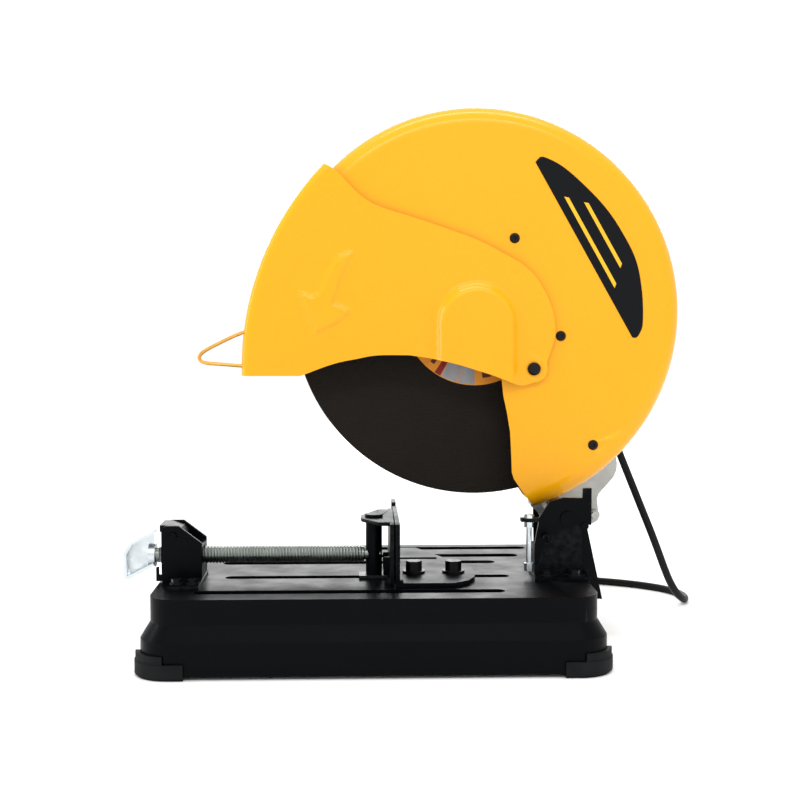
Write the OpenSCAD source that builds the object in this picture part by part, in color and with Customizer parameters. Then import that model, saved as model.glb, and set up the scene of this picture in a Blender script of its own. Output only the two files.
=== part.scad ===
// Abrasive chop saw for a 355 mm wheel: pressed steel base, tilting head,
// fixed and lifting guards, geared motor, screw vise and swivelling spark plate.
// +X is the pivot end, -X the operator's end, -Y the guard side, +Z up.
// The origin is on the bench at the centre of the four bench bolts.

/* [Wheel] */
// Diameter of the abrasive wheel
wheel_d = 355; // [350:1:356]
// Thickness of the abrasive wheel
wheel_t = 3; // [2.4:0.2:4]

/* [Base] */
// Length of the base's top plate
base_l = 394; // [392:1:396]
// Width of the base's top plate
base_w = 262; // [256:1:266]
// Height of the base's top above the bench
base_h = 69; // [69:1:69]
// Sheet thickness of the base
base_t = 2.5; // [2:0.5:3]

/* [Guard] */
// Outer radius of the fixed guard
guard_r = 197; // [196:0.2:197.6]
// Radius of the guard's pressed shoulder
guard_round = 17; // [10:1:20]
// Sheet thickness of the guards
guard_t = 1.8; // [1.4:0.2:2]

/* [Gears] */
// Tooth module of the reduction gears
gear_m = 2; // [2:1:2]
// Teeth on the spindle gear
gear_teeth = 40; // [40:1:40]
// Teeth on the motor pinion
pinion_teeth = 8; // [8:1:8]

/* [Motor] */
// Outer radius of the motor housing
motor_r = 47; // [46:1:48]

/* [Vise] */
// Radius of the lead screw
screw_r = 8; // [7.6:0.1:8]

/* [Cord] */
// Diameter of the mains cord
cord_d = 8; // [8:1:8]

/* [Hidden] */
$fn = 72;

// wheel centre, head pivot, guard pivot, motor axis (X, Z) and the wheel's plane
wx = 100; wz = 315.6; wy = 34;
px = 181; pz = 124;
gx = 154; gz = 262.5;
mx = 134; mz = 349.5;
vy = -36; vz = 91;      // lead screw axis (Y, Z)

black = [0.07,0.08,0.09];
yellow = [1,0.72,0.08];

module xz(y0, y1) { translate([0, y1, 0]) rotate([90,0,0]) linear_extrude(y1-y0) children(); }
module ycyl(x, z, y0, y1, r, r2 = -1) { translate([x, y0, z]) rotate([-90,0,0]) cylinder(h = y1-y0, r1 = r, r2 = r2 < 0 ? r : r2); }
module xcyl(y, z, x0, x1, r, r2 = -1) { translate([x0, y, z]) rotate([0,90,0]) cylinder(h = x1-x0, r1 = r, r2 = r2 < 0 ? r : r2); }
module zcyl(x, y, z0, z1, r, r2 = -1) { translate([x, y, z0]) cylinder(h = z1-z0, r1 = r, r2 = r2 < 0 ? r : r2); }
module bx(x0, x1, y0, y1, z0, z1) { translate([x0,y0,z0]) cube([x1-x0, y1-y0, z1-z0]); }
module rr(l, w, r) { // rounded rectangle from squares and circles
  square([l-2*r, w], center = true); square([l, w-2*r], center = true);
  for (i = [-1,1], j = [-1,1]) translate([i*(l/2-r), j*(w/2-r)]) circle(r);
}
module slot2(x0, x1, y, w) { // round-ended slot
  translate([x0+w/2, y-w/2]) square([x1-x0-w, w]);
  for (x = [x0+w/2, x1-w/2]) translate([x, y]) circle(w/2, $fn = 32);
}
module hexhead(r) { circle(r, $fn = 6); }

// ---------- base ----------
module tray(o, top) {
  translate([0,0,46.5]) linear_extrude(top-46.5) rr(base_l-2*o, base_w-2*o, 24-o);
  hull() {
    translate([0,0,46.4]) linear_extrude(0.2) rr(base_l-2*o, base_w-2*o, 24-o, $fn = 32);
    translate([0,0,32.5]) linear_extrude(0.2) rr(411-2*o, 274-2*o, 28-o, $fn = 32);
  }
}
module grooves(e) { slot2(-162-e, 161+e, 110.7, 15+2*e); slot2(-162-e, 148+e, 69, 16+2*e); slot2(-160-e, 116+e, -101.5, 14+2*e); }
module base_plate() color(black) difference() {
  union() {
    tray(0, base_h);
    translate([0,0,3]) linear_extrude(29.6) rr(411, 274, 28);
  }
  difference() {
    union() {
      tray(base_t, base_h-3);
      translate([0,0,5.5]) linear_extrude(27.2) rr(411-2*base_t, 274-2*base_t, 28-base_t);
      translate([0,0,-1]) linear_extrude(20) rr(330, 202, 14);
    }
    // two folded stiffeners under the top
    bx(-80,-77,-125,-50,50,68); bx(140,143,-125,-50,50,68);
    translate([0,0,base_h-7]) linear_extrude(6) grooves(2.2);
  }
  for (x = [-182,182], y = [-118,118]) zcyl(x, y, 0, 10, 4.25);
  translate([0,0,40]) linear_extrude(40) { slot2(-148, 121, wy, 15); slot2(-139, 127, vy, 13); }
  translate([0,0,base_h-4.8]) linear_extrude(8) grooves(0);
  for (p = [[160,-52],[186,-52],[172.5,103],[187,103],[-178,-78],[-164,-78]]) zcyl(p[0], p[1], 50, 80, 3.3);
}
module rubber_feet() color([0.05,0.06,0.06]) for (i = [-1,1], j = [-1,1]) scale([1,1,1]) mirror([i < 0 ? 1 : 0, 0, 0]) mirror([0, j < 0 ? 1 : 0, 0])
  difference() {
    intersection() {
      union() {
        translate([0,0,2]) linear_extrude(12) rr(422, 281, 32);
        translate([0,0,0]) linear_extrude(2.1) rr(418, 277, 30);
        translate([0,0,14]) linear_extrude(7) intersection() { rr(420, 279, 31); translate([183,110]) square(60); }
      }
      bx(165, 225, 92, 160, -1, 40);
    }
    translate([0,0,2.98]) linear_extrude(40) rr(411.2, 274.2, 28.1);
    zcyl(182, 118, -1, 5, 4.25);
  }
module ear() polygon([[150,71],[150,100],[154,121.5],[137,121.5],[137,124.5],[154,124.7],[164.5,140.4],[176.5,143.6],[195,143.2],[195.4,152.4],[203.3,152.4],[203.3,118],[194.5,118],[194.5,71]]);
module far_ear() polygon([[168,71],[167,112],[169,130],[176,138],[188,138],[198,124],[200,71]]);
module pivot_bracket() color(black) difference() {
  union() {
    bx(148, 200, -62, -16, base_h, base_h+3); bx(164, 200, -17, 112, base_h, base_h+3);
    bx(137, 154, -46, -36, 121.5, 124.5);
    xz(-43, -39.5) ear();
    xz(92, 95.5) far_ear();
    bx(186, 189, -39.6, 92.1, base_h+2, 96);
    bx(150, 153, -39.6, -16, base_h+2, 98);
    xz(58, 61) polygon([[189,71],[193.6,90],[193.6,121],[201,121],[199,71]]);
  }
  ycyl(px, pz, -50, 100, 5.03);
  zcyl(145, -41, 118, 128, 2.65);
  ycyl(197, 117, -50, 62, 2.55);
  ycyl(160, 108, -50, -30, 3.05);
  for (p = [[160,-52],[186,-52],[172.5,103],[187,103]]) zcyl(p[0], p[1], 50, 80, 3.3);
}
module bolt_z(x, y, z, hr, hh, r, l) { // hexagon bolt standing on z
  translate([x,y,z]) { cylinder(h = 1.2, r = hr*1.25); translate([0,0,1.2]) linear_extrude(hh) hexhead(hr); }
  zcyl(x, y, z-l, z+0.1, r);
  translate([x,y,z-l+1]) linear_extrude(4) difference() { hexhead(hr); circle(r*0.99); }
}
module bracket_bolts() color([0.1,0.1,0.11]) for (p = [[160,-52],[186,-52],[172.5,103],[187,103]]) bolt_z(p[0], p[1], base_h+3, 5.4, 4, 3.25, 16);
module pivot_pin() color([0.1,0.1,0.11]) { ycyl(px, pz, -43.2, 100, 5); ycyl(px, pz, -45.6, -43.1, 7, 7); }
module pivot_pin_clips() color([0.5,0.5,0.52]) for (y = [95.7]) difference() { ycyl(px, pz, y, y+1.4, 9.5); ycyl(px, pz, y-1, y+3, 5.03); bx(px-2, px+2, y-1, y+3, pz+4, pz+12); }
// ring points of a tube swept along a path, written once for every wire
function vn(v) = v/norm(v);
function tang(p, i) = vn(p[min(i+1,len(p)-1)]-p[max(i-1,0)]);
function ringp(c, t, r, n) = let (a = abs(t[2]) > 0.9 ? [0,1,0] : [0,0,1], u = vn(cross(t, a)), v = cross(t, u)) [for (k = [0:n-1]) c + r*(cos(360*k/n)*u + sin(360*k/n)*v)];
module sweep(p, r, n = 8) {
  m = len(p);
  pts = [for (i = [0:m-1]) each ringp(p[i], tang(p,i), r, n)];
  faces = concat([[for (k = [0:n-1]) k]], [[for (k = [n-1:-1:0]) (m-1)*n+k]],
    [for (i = [0:m-2], k = [0:n-1]) [i*n+k, (i+1)*n+k, (i+1)*n+(k+1)%n, i*n+(k+1)%n]]);
  polyhedron(pts, faces);
}
// spring around the knuckle: turns about the Y axis
spring_path = [for (i = [0:2:120]) [px-12.6*cos(i*18), -27.2+i*0.19, pz+12.6*sin(i*18)]];
module return_spring() color([0.35,0.36,0.38]) sweep(concat([[px-12.6,-27.6,pz-26]], [[px-12.6,-27.4,pz-8]], spring_path, [[px-12.6,-4.2,pz+6]], [[px-12.6,-4.1,pz+10]]), 1.4, 6);
module depth_stop() color("silver") {
  zcyl(145, -41, 82, 128.4, 2.6);
  translate([145,-41,75]) linear_extrude(7.2) hexhead(4.6);
  for (z = [116,124.7]) translate([145,-41,z]) linear_extrude(z < 120 ? 5 : 3) difference() { hexhead(4.6); circle(2.58); }
}
module fence_foot() polygon([[19,-86],[72,-86],[86,-74],[93,-56],[94,-40],[94,-13],[84,7],[45,93],[19,93]]);
module fence() color(black) difference() {
  union() {
    translate([0,0,base_h]) linear_extrude(4) fence_foot();
    bx(18.8, 23, -86, 93, base_h, 126);
    translate([23,-86,base_h+3.9]) cube([3,179,3]);
  }
  bx(10, 63, 29.5, 38.5, 60, 90); bx(10, 30, 29, 55, 73, 140);
  zcyl(37.4, vy, 60, 80, 4.6); zcyl(74.5, vy, 60, 80, 4.6);
  bx(10, 30, 80, 100, 112, 140);
}
module fence_bolts() color([0.04,0.04,0.05]) for (x = [37.4, 74.5]) {
  zcyl(x, vy, base_h+4, base_h+6, 10.5);
  translate([x,vy,base_h+6]) linear_extrude(9) hexhead(7.6);
  zcyl(x, vy, base_h-16, base_h+4.1, 4);
  translate([x,vy,base_h-13]) linear_extrude(6) difference() { hexhead(7.6); circle(3.98); }
  translate([x,vy,base_h-5.5]) linear_extrude(2) difference() { circle(10); circle(4.3); }
}
module vise_bracket() color(black) difference() {
  union() {
    bx(-194, -157, -56, -16, base_h, base_h+3);
    bx(-185, -157, -92, -55, base_h, base_h+3);
    xz(-56, -52.5) union() { polygon([[-195,70],[-195,119],[-191,121],[-179,121],[-158,105],[-158,70]]); polygon([[-194,70],[-200,70],[-200,83],[-197.4,83],[-197.4,76],[-194,76]]); }
    xz(-19.5, -16) polygon([[-195,70],[-195,119],[-191,121],[-179,121],[-158,105],[-158,70]]);
    bx(-162, -158, -54, -18, base_h, 102);
    bx(-195, -191, -54, -18, base_h, 86);
  }
  xcyl(vy, vz, -200, -150, screw_r+0.35);
  ycyl(-184, 112, -60, -10, 3.05);
  for (x = [-178,-164]) zcyl(x, -78, 50, 80, 3.3);
}
module vise_bracket_bolts() color([0.1,0.1,0.11]) for (x = [-178,-164]) bolt_z(x, -78, base_h+3, 5, 3.6, 3.25, 15);
module half_nut_lever() color([0.12,0.12,0.13]) {
  ycyl(-184, 112, -58, -14, 3);
  difference() {
    xz(-51.5, -20.5) polygon([[-190,106],[-190,115],[-197,115],[-197,121],[-190,121],[-178,118],[-174,112],[-174,99.6],[-186,99.6]]);
    bx(-190,-170,-45,-27,90,106);
  }
}
module deflector_pin() color([0.1,0.1,0.11]) { ycyl(197, 117, -43.2, 61.3, 2.5); ycyl(197, 117, -44.8, -43.1, 3.6); ycyl(197, 117, 61.2, 62.6, 3.6); }
module spark_deflector() color(black) difference() {
  union() {
    xz(-38.5, 57) polygon([[195.2,114],[198.8,114],[215,47],[213.4,46.6]]);
    xz(-38.5, -36.6) polygon([[191,118],[198.8,121],[215,47],[206,47],[201.8,73.4],[191,73.8]]);
    ycyl(197, 117, -38.5, -29, 4.2); ycyl(197, 117, 30, 57, 4.2);
  }
  ycyl(197, 117, -50, 62, 2.55);
}
module lock_pin() color([0.1,0.1,0.11]) {
  ycyl(160, 108, -56, -37, 3); ycyl(160, 108, -57.6, -55.9, 4);
  translate([160, -60.6, 108]) rotate([90,0,90]) rotate_extrude($fn = 48) translate([3,0]) circle(0.8, $fn = 16);
}

// ---------- vise ----------
module jaw_plate() color(black) difference() {
  union() {
    bx(14, 18, -86, 16, 72, 126);
    translate([0,0,122.5]) linear_extrude(3.5) union() { polygon([[17,-72],[4,-72],[-12,-46],[-12,-26],[4,10],[17,10]]); translate([0,vy]) circle(12.4); }
    bx(8.5, 14.2, -50, -47, 73, 90); bx(8.5, 14.2, -25, -22, 73, 90);
  }
  zcyl(0, vy, 120, 130, 5.05);
}
module jaw_post() color(black) difference() {
  union() { zcyl(0, vy, base_h+3.2, 122.4, 7.6); zcyl(0, vy, 122, 126.2, 5); translate([0,vy,126]) linear_extrude(2.6) scale([1,1]) circle(8.4); }
  xcyl(vy, vz, -10, 6, screw_r-2.5+0.04);
}
module jaw_guide() color([0.2,0.2,0.22]) { bx(-14, 13, vy-11, vy+11, base_h+0.3, base_h+3.2); bx(-12, 12, vy-6, vy+6, 64.5, base_h+0.4); bx(-12, 12, vy-10, vy+10, 62, 64.6); }
module lead_screw() color([0.42,0.44,0.43]) {
  xcyl(vy, vz, -205, -9.2, screw_r-0.9);
  for (i = [0:63]) xcyl(vy, vz, -201+i*3, -199.5+i*3, screw_r, $fn = 36);
  xcyl(vy, vz, -10, 5, screw_r-2.5);
}
module crank_handle() color([0.82,0.85,0.86]) difference() {
  union() {
    xz(-47, -25) polygon([[-203,115],[-203,112.4],[-222.8,102.6],[-228.8,93],[-228,73],[-204,85],[-203,82.6],[-226,70],[-231,70],[-231.6,94],[-224.6,104.6]]);
    xcyl(vy, vz, -209, -203, 11);
    xz(-37.5, -34.5) polygon([[-205,113],[-222,103],[-228,93],[-227.5,74],[-204,84]]);
  }
  xcyl(vy, vz, -206, -200, screw_r-0.88);
}

// ---------- head ----------
module case2d(o) { translate([wx,wz]) circle(54-o); translate([mx,mz]) circle(32-o); }
module arm_web() polygon([[170,112],[176,102],[190,98],[225,102.3],[229.5,105.4],[230.5,110.8],[229.5,118.5],[228.5,127.6],[230.5,133],[237.6,140.7],[245.3,149.8],[248.2,156.8],[248.6,163.9],[247.6,169],[246,220],[232,280],[200,330],[168,370],[120,340],[80,300],[104,262],[128,222],[146,180],[160,140],[161,120]]);
module arm_casting() color([0.7,0.71,0.7]) difference() {
  union() {
    difference() { xz(64, 88) arm_web(); xz(70, 82) difference() { polygon([[176,150],[228,150],[234,172],[232,218],[216,268],[190,300],[150,268],[140,235],[160,190]]); polygon([[184,148],[192,148],[170,290],[160,285]]); } }
    xz(62.4, 92) case2d(0);
    ycyl(px, pz, -36, 91, 9.6);
    xz(-36, -30) polygon([[163,128],[161,118],[172,110],[184,113]]);
    bx(70, 180, 68, 90, 340, 372);
    ycyl(225, 112, 56, 64.1, 5); xz(52.4, 56.1) translate([225,112]) hexhead(4.4);
  }
  ycyl(px, pz, -40, 95, 5.04);
  // gear chamber, spindle bearing seat, pinion space
  ycyl(wx, wz, 73.5, 93, 44.5); ycyl(mx, mz, 72, 93, 13);
  ycyl(wx, wz, 60, 74, 19);
  ycyl(mx, mz, 66, 73, 8.05);
}
module gear_case_cover() color([0.66,0.67,0.66]) difference() {
  union() { xz(92, 99) union() { case2d(0); translate([mx,mz]) circle(motor_r+1); } }
  ycyl(wx, wz, 91, 97.2, 13); ycyl(mx, mz, 91, 100, 13);
  ycyl(75, 295, 90, 100, 4.06);
}
module cover_screws() color([0.3,0.3,0.32]) for (p = [[58,335],[100,268],[146,296],[152,308]]) if (p[0] != 152) { ycyl(p[0], p[1], 99, 102.5, 4); }
module motor_housing() color(black) difference() {
  union() {
    ycyl(mx, mz, 99, 226, motor_r);
    for (a = [0:15:345]) translate([mx,0,mz]) rotate([0,a,0]) bx(motor_r-1, motor_r+1.6, 128, 196, -1.6, 1.6);
    ycyl(mx, mz, 118, 122, motor_r+1.6); ycyl(mx, mz, 198, 202, motor_r+1.6);
    bx(mx+38, 212, 106, 134, 316, 343);
  }
  ycyl(mx, mz, 90, 230, motor_r-3.5);
  for (a = [0:20:340]) translate([mx,0,mz]) rotate([0,a,0]) bx(motor_r-6, motor_r+4, 104, 114, -2.4, 2.4);
  for (s = [-1,1]) translate([mx,212,mz]) rotate([0, s*90-50, 0]) cylinder(h = 60, r = 6.1);
  translate([200,120,321]) rotate([0,158,0]) translate([0,0,-0.3]) cylinder(h = 30, r = 8.1);
}
module motor_end_cap() color([0.06,0.06,0.07]) difference() {
  union() { ycyl(mx, mz, 226, 240, motor_r); ycyl(mx, mz, 240, 252, motor_r, motor_r-12); }
  ycyl(mx, mz, 225, 238, motor_r-4); ycyl(mx, mz, 236, 246, 11.05);
  for (a = [0:30:330]) translate([mx,0,mz]) rotate([0,a,0]) bx(18, 34, 236, 254, -2.5, 2.5);
  for (a = [45:90:315]) translate([mx,0,mz]) rotate([0,a,0]) translate([41,0,0]) ycyl(0, 0, 230, 256, 3);
}
module end_cap_screws() color([0.5,0.5,0.52]) for (a = [45:90:315]) translate([mx,0,mz]) rotate([0,a,0]) translate([41,0,0]) { ycyl(0, 0, 232, 243, 2.9); }
module stator() color([0.45,0.3,0.2]) difference() { ycyl(mx, mz, 124, 192, motor_r-3.6); ycyl(mx, mz, 120, 200, 28.5); for (s = [0,180]) translate([mx,0,mz]) rotate([0,s,0]) bx(-12, 12, 120, 200, 30, 60); }
module brush_caps() color([0.04,0.04,0.04]) for (s = [-1,1]) translate([mx,212,mz]) rotate([0, s*90-50, 0]) difference() { union() { translate([0,0,38]) cylinder(h = 11, r = 6); translate([0,0,47.6]) cylinder(h = 2.4, r = 8.5); } translate([-5,-0.8,48.8]) cube([10,1.6,3]); }
module carbon_brushes() color([0.15,0.15,0.16]) for (s = [-1,1]) translate([mx,212,mz]) rotate([0, s*90-50, 0]) translate([-3,-4,16.1]) cube([6,8,21.8]);
module bearing(x, z, y0, y1, ro, ri) { difference() { ycyl(x, z, y0, y1, ro); ycyl(x, z, y0-1, y1+1, ri); } }
module bearings() color("silver") {
  bearing(wx, wz, 62.6, 73.3, 19, 10.04); bearing(wx, wz, 92.2, 97.2, 13, 7.04);
  bearing(mx, mz, 92.2, 98.8, 13, 5.04); bearing(mx, mz, 238.2, 245.8, 11, 5.04); bearing(mx, mz, 66.1, 71.9, 8, 4.04);
}
// the handle's own frame: x away from the motor, z across its thickness
module uf() translate([mx,0,mz]) rotate([0,-140,0]) children();
module ring2d() difference() {
  translate([98.8, 159]) rr(102.4, 112, 16);
  translate([95, 159]) rr(58, 76, 14);
}
module handle_half(z0, z1) uf() difference() {
  translate([0,0,z0]) linear_extrude(z1-z0) ring2d();
  bx(128.5, 146.5, 140, 181, -9.5, 9.5);
  bx(122, 129, 147.6, 178.4, -7.4, 7.4);
  ycyl(0, 0, 100, 230, motor_r+1.7);
  for (p = [[56,110],[56,208],[141,112],[141,206]]) translate([p[0],p[1],-20]) cylinder(h = 40, r = 2.05);
}
module handle_upper() color(black) handle_half(-16, -0.1);
module handle_lower() color([0.09,0.09,0.1]) handle_half(0.1, 16);
module handle_screws() color([0.4,0.4,0.42]) uf() for (p = [[56,110],[56,208],[141,112],[141,206]]) translate([p[0],p[1],-17.5]) { cylinder(h = 30, r = 2); cylinder(h = 1.5, r = 3.6); }
module switch_module() color([0.2,0.2,0.22]) uf() bx(138, 146.4, 141, 180, -9, 9);
module trigger() color([0.75,0.1,0.08]) uf() difference() {
  union() { bx(119, 131.5, 148, 178, -7, 7); translate([119,163,-7]) scale([1,1,1]) cylinder(h = 14, r = 9); }
  translate([102,163,-8]) cylinder(h = 16, r = 13);
}
module carry_handle() color(black) xz(70, 88) difference() {
  translate([125,401]) rr(126, 58, 14);
  translate([125,402]) rr(96, 28, 10);
  case2d(-0.15);
}

// fixed guard: a pressed drum round the wheel, drawn as (radius, -Y)
function gprof(o, n = 8) = concat([[0,-3-o]], [for (i = [0:n]) [guard_r-guard_round+(guard_round-o)*sin(90*i/n), -3-guard_round+(guard_round-o)*cos(90*i/n)]],
  [for (i = [0:4]) [guard_r-6+(6-o)*cos(90*i/4), -56-(6-o)*sin(90*i/4)]], [[0,-62+o]]);
module fixed_guard() color(yellow) difference() {
  translate([wx,0,wz]) rotate([90,0,0]) rotate_extrude($fn = 180) difference() { polygon(gprof(0)); polygon(gprof(guard_t)); }
  // the wheel's opening and the hub's arch
  translate([wx,0,wz]) xz(-5, 70) polygon([[-260,-8],[22,-8],[23.5,-62],[25.3,-79],[29,-96],[32,-114],[33,-131],[34,-154],[36,-160],[43.5,-171],[52,-183],[59,-189],[64,-212],[60,-300],[-260,-300]]);
  xz(-5, 30) union() { translate([wx,wz]) circle(46); translate([wx-46,wz-60]) square([69,60]); }
  ycyl(wx, wz, 50, 70, 33);
  for (p = [[135.4,387.4],[180.5,293.9],[212.6,188.5]]) ycyl(p[0], p[1], -5, 70, 2.6);
  ycyl(gx, gz, -5, 20, 4.02);
}
module guard_screws() color([0.05,0.05,0.05]) for (p = [[135.4,387.4],[180.5,293.9],[212.6,188.5]]) {
  difference() { ycyl(p[0], p[1], 0.6, 3, 3.6, 5); translate([p[0],0.5,p[1]]) rotate([-90,0,0]) cylinder(h = 1.4, r = 2, $fn = 6); }
  ycyl(p[0], p[1], 2.9, 14, 2.5);
  difference() { ycyl(p[0], p[1], 5, 9, 4.6); ycyl(p[0], p[1], 4, 12, 2.48); }
}
// black crescent panel on the guard's face
module guard_decal() color([0.08,0.08,0.09]) xz(2.55, 2.97) polygon([[154.5,460],[163,464.8],[180,456],[200,439.5],[222,417],[238.5,393.5],[252.5,366],[259,335.5],[260,307],[253.5,291],[248,295],[154.5,456]]);
module guard_pivot_screw() color([0.05,0.05,0.05]) { ycyl(gx, gz, -2.7, 9, 4); ycyl(gx, gz, -4.2, -2.6, 6.2); ycyl(gx, gz, -5.6, -4.2, 4.4, 6.2); ycyl(gx, gz, 6, 9, 7); ycyl(gx, gz, 0.2, 2.9, 7); }
module cord_boot() color([0.05,0.05,0.05]) translate([200,120,321]) rotate([0, 158, 0]) difference() { union() { cylinder(h = 8, r = 8); translate([0,0,8]) cylinder(h = 42, r1 = 7.4, r2 = 5.2); for (i = [0:4]) translate([0,0,12+i*7]) cylinder(h = 2.6, r = 7.2-i*0.3); } translate([0,0,42]) cylinder(h = 20, r = cord_d/2+0.02); translate([-20,-20,-3]) cube([0.01,0.01,0.01]); }

// moving guard: flat face, rim about its pivot, hollow boss over the hub
guard_face = concat([[-46,457],[-34,449.5],[-24,439],[-3,420.5],[25.5,410.5],[49.5,403],[77,393.7],[101,384.7],[121.3,374.4],[140,364],[153.7,352.2],[164,337],[170.6,321.7],[174.1,306.4],[174,293],[170.6,280.6],[167,270]],
  [for (a = [20:-20:-80]) [gx+13.6*cos(a), gz+13.6*sin(a)]],
  [[144,246],[138,246.5],[128.6,251],[113.3,256.7],[98,261.5],[82.8,266.3],[67.5,270],[52,273],[42.7,274.4],[33,275.6],[14,275.8],[-1,275],[-16.5,272],[-31.8,269],[-47,264.4],[-62.3,258.6],[-70,255.8]],
  [for (a = [181.4:-4.56:135.8]) [gx+280*cos(a), gz+280*sin(a)]]);
module boss2d(r) { translate([99,305.5]) circle(r); translate([99-r,225]) square([2*r,80.5]); }
module moving_guard() color(yellow) difference() {
  union() {
    xz(-2.2, -0.6) polygon(guard_face);
    difference() {
      intersection() { translate([gx,0,gz]) rotate([90,0,0]) translate([0,0,-64]) difference() { cylinder(h = 66.2, r = 280, $fn = 240); translate([0,0,-1]) cylinder(h = 70, r = 278.2, $fn = 240); } xz(-3, 70) translate([gx,gz]) polygon([[0,0],[-400,-9.8],[-400,200],[-287.2,279.3*1.0]]); }
    }
    intersection() {
      xz(-11, -1) polygon(guard_face);
      union() {
        ycyl(99, 305.5, -10.8, -1, 31, 42);
        xz(-7, -1) polygon([[99-36,225],[99-36,305],[99+36,305],[99+36,225]]);
      }
    }
  }
  ycyl(99, 305.5, -9, 0, 29.4, 39.4);
  xz(-5.2, 0) polygon([[99-34,225],[99-34,305],[99+34,305],[99+34,225]]);
  ycyl(gx, gz, -10, 5, 4.05);
  // the wire loop goes in through two holes in the rim
  translate([-117,2.6,300.2]) rotate([0,-111.8,0]) cylinder(h = 18, r = 1.9);
  translate([-115,2.6,264.6]) rotate([0,-85.8,0]) cylinder(h = 17, r = 1.9);
}
loop_path = [[-121,-1.4,298.6],[-134,-1.4,293.4],[-147,-1.4,287],[-158,-1.4,281.5],[-164,-1.4,277.2],[-166,-1.4,273.6],[-164,-1.4,270],[-159,-1.4,268.2],[-147,-1.4,267],[-134,-1.4,266],[-122,-1.4,265]];
module lift_loop() color([0.85,0.55,0.2]) translate([0,4,0]) sweep(concat([[-119,-1.4,299.4]], loop_path, [[-119,-1.4,264.9]]), 1.8, 8);

// ---------- spindle ----------
module spindle() color("silver") difference() { union() { ycyl(wx, wz, 32.1, 62.3, 12.66); ycyl(wx, wz, 62.2, 73.4, 10); ycyl(wx, wz, 60.05, 62.3, 16); ycyl(wx, wz, 73.35, 91.9, 12); ycyl(wx, wz, 91.8, 97, 7); } ycyl(wx, wz, 30, 52, 6.04); }
function tooth(ro, rr_, wi, wo, a) = [for (p = [[rr_,-wi],[ro,-wo],[ro,wo],[rr_,wi]]) [p[0]*cos(a)-p[1]*sin(a), p[0]*sin(a)+p[1]*cos(a)]];
module gear2d(n, ro, rr_, wi, wo, a0) polygon([for (i = [0:n-1]) each tooth(ro, rr_, wi, wo, a0+360*i/n)]);
// the two axes lie 48 mm apart on a 45 degree line
module spindle_gear() color([0.6,0.6,0.6]) translate([wx,0,wz]) difference() {
  xz(74.5, 87) gear2d(gear_teeth, 41.6, 37.4, 1.7, 0.75, 45+4.5);
  ycyl(0, 0, 70, 90, 12.05);
  for (a = [0:90:270]) rotate([0,a,0]) ycyl(-25, -20.6, 70, 90, 4.4);
}
module inner_flange() color([0.5,0.5,0.5]) difference() { union() { ycyl(wx, wz, wy+wheel_t/2+0.01, wy+wheel_t/2+3, 38); ycyl(wx, wz, wy+4.4, 60, 20); } ycyl(wx, wz, 30, 65, 12.7); }
module outer_flange() color([0.5,0.5,0.5]) difference() { union() { ycyl(wx, wz, wy-wheel_t/2-3, wy-wheel_t/2-0.6, 38); ycyl(wx, wz, wy-wheel_t/2-5.6, wy-wheel_t/2-2.9, 30, 36); } ycyl(wx, wz, 10, 50, 8.03); }
module abrasive_wheel() color([0.12,0.11,0.1]) difference() { ycyl(wx, wz, wy-wheel_t/2, wy+wheel_t/2, wheel_d/2); ycyl(wx, wz, 20, 50, 12.7); }
module wheel_label() color([0.6,0.3,0.1]) difference() { ycyl(wx, wz, wy-wheel_t/2-0.55, wy-wheel_t/2-0.02, 70.5); ycyl(wx, wz, 20, 50, 13); }
module arbor_bolt() color([0.25,0.25,0.26]) translate([wx,0,wz]) { xz(14, 22) hexhead(10.5); ycyl(0, 0, 22, 26.8, 15); ycyl(0, 0, 26, 31, 8); ycyl(0, 0, 30.9, 50, 6); }

// ---------- armature ----------
module armature_shaft() color("silver") translate([mx,0,mz]) {
  ycyl(0, 0, 66.4, 75, 4); ycyl(0, 0, 87.4, 245.4, 5);
  xz(74.8, 87.6) gear2d(pinion_teeth, 9.7, 5.8, 1.7, 0.75, 45);
}
module armature_core() color([0.5,0.35,0.2]) translate([mx,0,mz]) difference() { ycyl(0, 0, 124, 190, 27.4); ycyl(0, 0, 120, 200, 5.02); for (a = [0:30:330]) rotate([0,a,0]) bx(24, 30, 122, 192, -1.6, 1.6); }
module commutator() color([0.7,0.42,0.2]) translate([mx,0,mz]) difference() { ycyl(0, 0, 201, 222, 15.6); ycyl(0, 0, 200, 224, 5.02); for (a = [0:20:340]) rotate([0,a,0]) bx(14.8, 18, 200, 223, -0.4, 0.4); }
module fan() color([0.12,0.12,0.13]) translate([mx,0,mz]) difference() { union() { ycyl(0, 0, 103, 105, 40); ycyl(0, 0, 104, 116, 9); for (a = [0:24:336]) rotate([0,a,0]) bx(8, 39, 104.8, 114, -0.8, 0.8); } ycyl(0, 0, 100, 120, 5.02); }
module spindle_lock() color([0.75,0.1,0.08]) { ycyl(75, 295, 88.4, 108, 4); ycyl(75, 295, 107, 112, 8); ycyl(75, 295, 112, 114, 8, 6.6); }

// ---------- cord ----------
// route from the boot's mouth, down behind the saw and along the bench
route = [[219,120,274],[221,120,269],[228,120,251.5],[237,120,230],[246,120,208.5],[255,120,187],[263.6,120,165.5],[272.4,120,144],[281,120,123],[289.6,120,102],[298,120,81.5],[305.6,120.5,62],[312.8,122,43.5],[320.5,125.5,27],[329.5,131.5,14],[338,141,6.6],[343.5,154,4.2],[345,169,4],[342,185,4],[334,201,4],[321,216,4],[305,229,4],[286,240.5,4],[266,250,4],[246,258,4],[237,261.6,4]];
cx = 190; cy = 220; // coil centre on the bench
module cord_tube() color([0.05,0.05,0.05]) sweep(route, cord_d/2, 8);
module cord_coil() color([0.06,0.06,0.06]) translate([cx,cy,0]) rotate_extrude() translate([31.5,0.05]) square([25.5,32]);
tail = [[166,278.2,27],[156,278.6,24.6],[146,279,21.6],[136,279,19.4],[127,279,18.2],[119.2,279,18]];
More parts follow.
